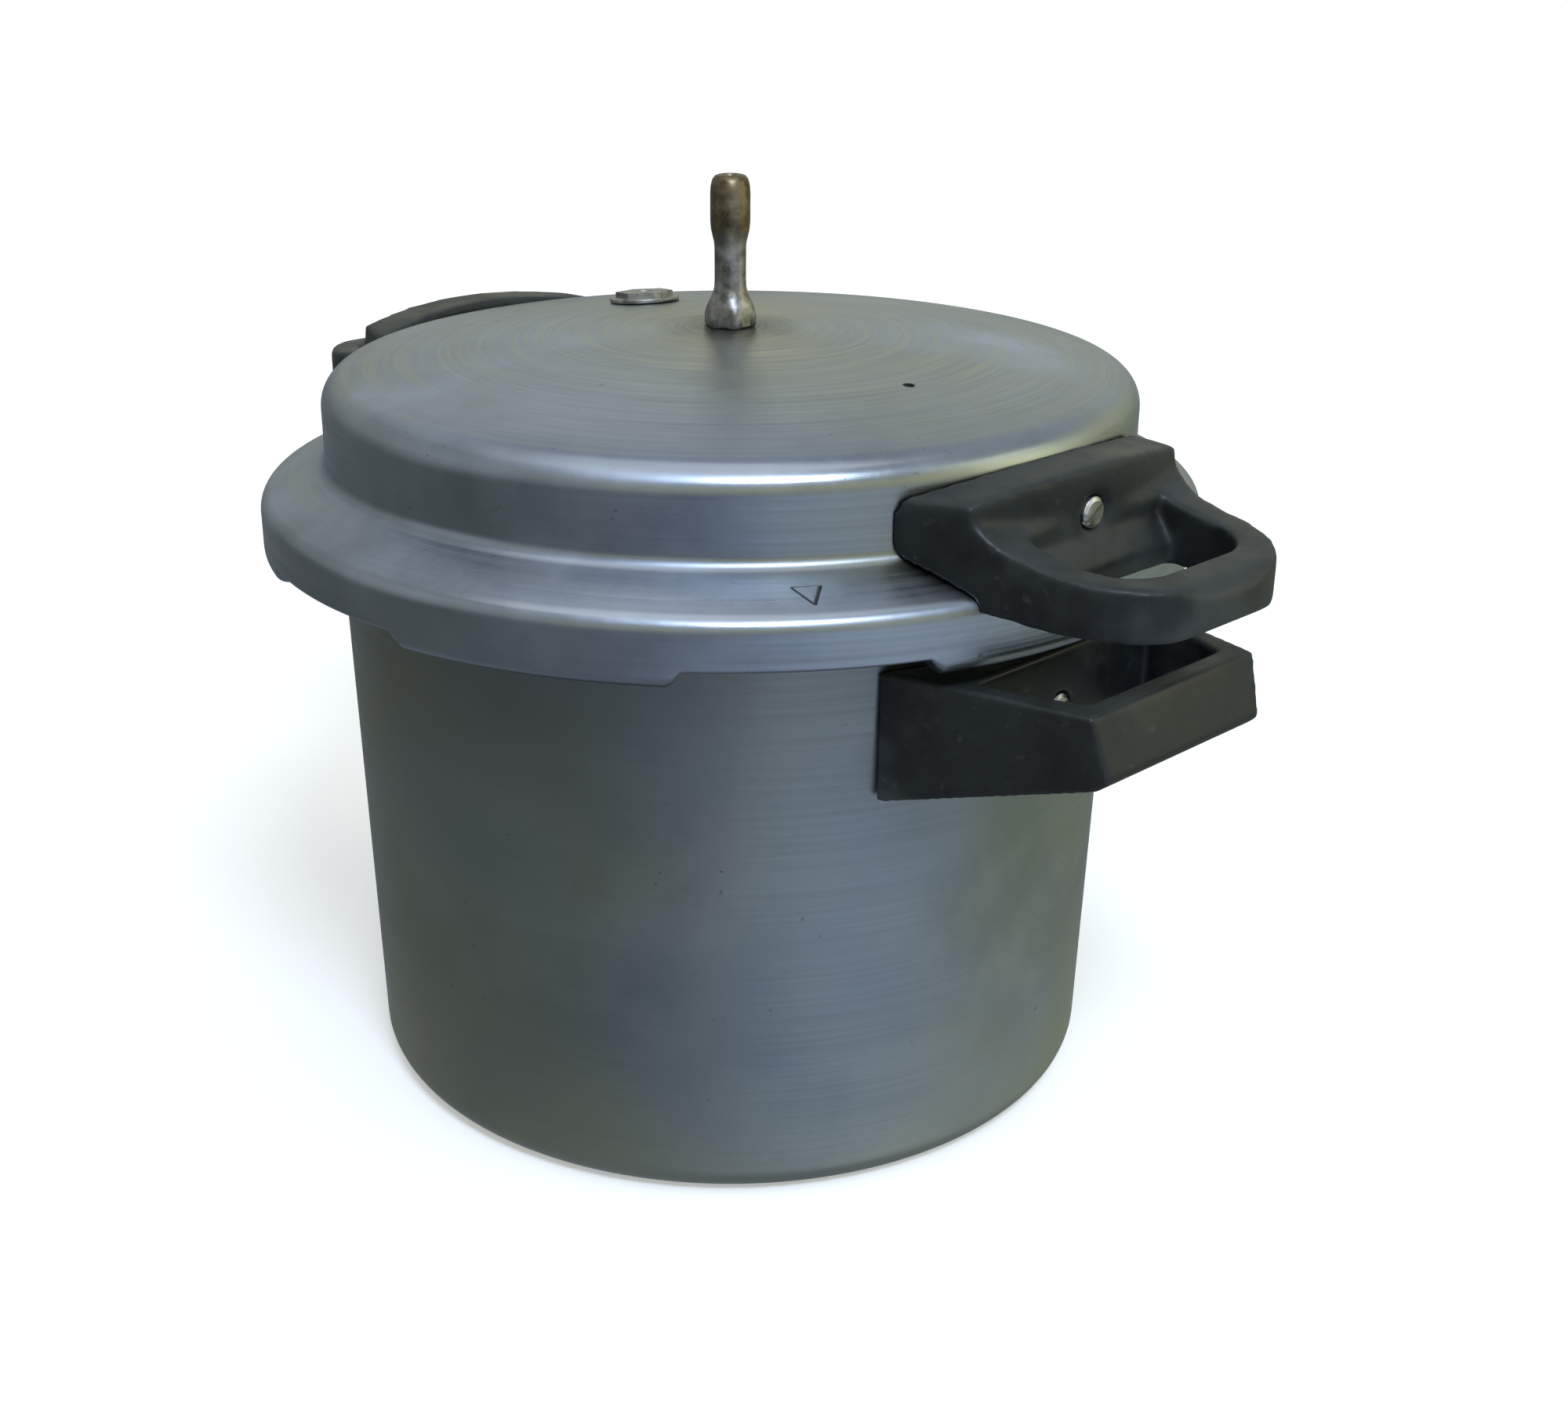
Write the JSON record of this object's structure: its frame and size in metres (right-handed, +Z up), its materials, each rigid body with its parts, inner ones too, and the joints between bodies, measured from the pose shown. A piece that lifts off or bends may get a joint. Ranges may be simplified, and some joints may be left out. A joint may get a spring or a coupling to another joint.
{
  "type": "stovetop pressure cooker",
  "caption": "Stovetop pressure cooker: tapered pot, turn-to-lock outer lid with a raised domed crown, tall vent pipe, safety plug and moulded side handles.",
  "frame": {"origin": "centre of the pot's underside", "axes": "+Z up along the pot's axis, +X through the middle of the right handles, +Y across the handles"},
  "size_m": [0.327, 0.253, 0.2447],
  "materials": {
    "pot_metal": "satin, brushed round, worn",
    "lid_metal": "satin, brushed round, worn",
    "ring_rubber": "matt",
    "vent_metal": "plated, worn and tarnished",
    "plug_metal": "dull",
    "fuse_alloy": "dull",
    "fixing_metal": "plain",
    "screw_metal": "worn",
    "handle_plastic": "moulded, satin, worn"
  },
  "bodies": {
    "pot": {"pot": "pot_metal", "pot_handle_right": "handle_plastic", "pot_handle_left": "handle_plastic", "pot_stud_right": "fixing_metal", "pot_stud_left": "fixing_metal", "pot_screw_right": "screw_metal", "pot_screw_left": "screw_metal", "pot_screw_washer_right": "screw_metal", "pot_screw_washer_left": "screw_metal"},
    "lid": {"lid_shell": "lid_metal", "sealing_ring": "ring_rubber", "vent_pipe": "vent_metal", "vent_washer": "fixing_metal", "vent_nut": "fixing_metal", "safety_plug_body": "plug_metal", "safety_plug_fuse": "fuse_alloy", "safety_plug_washer": "ring_rubber", "safety_plug_nut": "fixing_metal", "lid_handle_right": "handle_plastic", "lid_handle_left": "handle_plastic", "lid_stud_right": "fixing_metal", "lid_stud_left": "fixing_metal", "lid_screw_right": "screw_metal", "lid_screw_left": "screw_metal", "lid_screw_washer_right": "screw_metal", "lid_screw_washer_left": "screw_metal"}
  },
  "joints": [
    {"name": "lid_turn", "type": "hinge", "parent": "pot", "child": "lid", "pos_m": [0, 0, 0.156], "axis": [0, 0, 1], "range_deg": [0, 30]}
  ]
}
